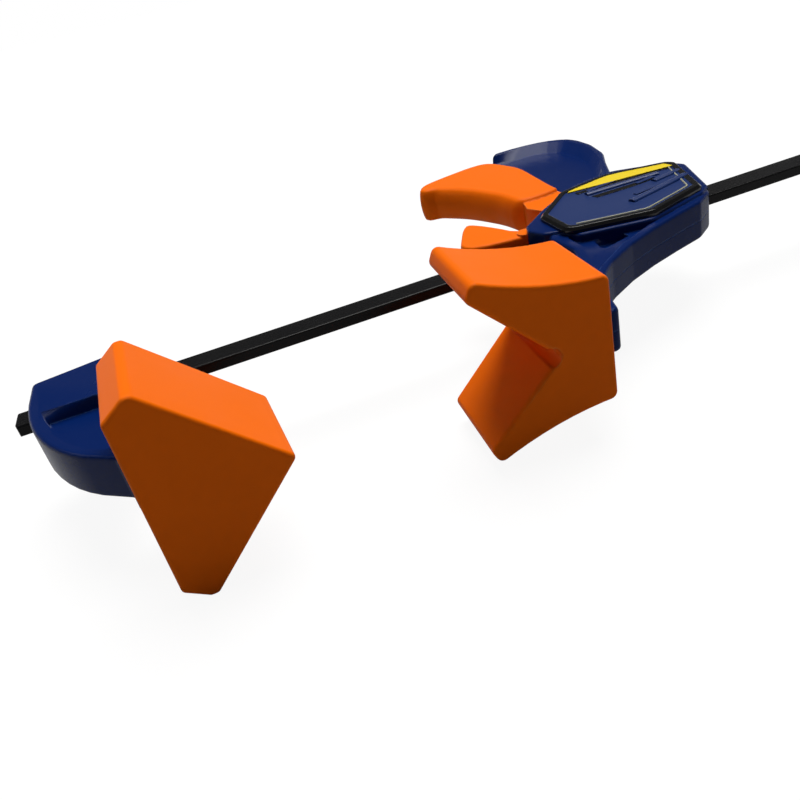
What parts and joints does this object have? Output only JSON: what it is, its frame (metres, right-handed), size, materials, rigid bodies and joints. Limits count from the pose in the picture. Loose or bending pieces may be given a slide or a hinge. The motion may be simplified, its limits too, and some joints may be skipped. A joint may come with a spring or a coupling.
{
  "type": "quick release bar clamp",
  "caption": "One-handed bar clamp with a squeeze trigger, a release lever, a wedge-shaped pad on the fixed jaw and a V-notched pad on the sliding jaw.",
  "frame": {"origin": "centre of the bar's end face that shows behind the fixed jaw", "axes": "+X along the bar to the sliding jaw, -Y to the jaw tips, +Y to the grip, +Z out of the badge side"},
  "size_m": [0.475, 0.2279, 0.0798],
  "materials": {
    "bar_black": "satin black coating",
    "blue_moulding": "glossy moulded",
    "orange_moulding": "semi-gloss moulded",
    "badge_black": "glossy",
    "steel": "zinc plated",
    "spring_steel": "oiled"
  },
  "bodies": {
    "bar_assembly": {"bar": "bar_black", "fixed_jaw": "blue_moulding", "jaw_pin": "steel", "wedge_pad": "orange_moulding", "stop_pin": "steel"},
    "slider": {"front_shell": "blue_moulding", "back_shell": "blue_moulding", "badge_plate": "badge_black", "shell_screws": "steel", "v_pad": "orange_moulding", "trigger_pin": "steel", "release_pin": "steel", "brake_spring": "spring_steel", "drive_spring": "spring_steel"},
    "trigger": {"trigger": "orange_moulding"},
    "drive": {"drive_plate_1": "steel", "drive_plate_2": "steel", "drive_plate_3": "steel"},
    "release": {"release_lever": "orange_moulding"},
    "brake": {"brake_plate": "steel"}
  },
  "joints": [
    {"name": "jaw_slide", "type": "slide", "parent": "bar_assembly", "child": "slider", "axis": [1, 0, 0], "range_m": [-0.0955, 0.145]},
    {"name": "trigger_pull", "type": "hinge", "parent": "slider", "child": "trigger", "pos_m": [0.2625, -0.0135, 0], "axis": [0, 0, 1], "range_deg": [-12, 0], "stiffness_Nm_per_rad": 1.5, "springref_deg": 8.59},
    {"name": "drive_slide", "type": "slide", "parent": "slider", "child": "drive", "axis": [1, 0, 0], "range_m": [0, 0.0052], "deforming": ["drive_spring"]},
    {"name": "release_pull", "type": "hinge", "parent": "slider", "child": "release", "pos_m": [0.2385, 0.01027, 0], "axis": [0, 0, 1], "range_deg": [-25, 0], "stiffness_Nm_per_rad": 0.3, "springref_deg": 11.46},
    {"name": "brake_tilt", "type": "hinge", "parent": "slider", "child": "brake", "pos_m": [0.2465, -0.013, 0], "axis": [0, 0, 1], "range_deg": [-5.5, 0]}
  ],
  "couplings": [
    {"joint": "drive_slide", "follows": "trigger_pull", "m_per_rad": -0.024},
    {"joint": "brake_tilt", "follows": "release_pull", "ratio": 0.2}
  ]
}
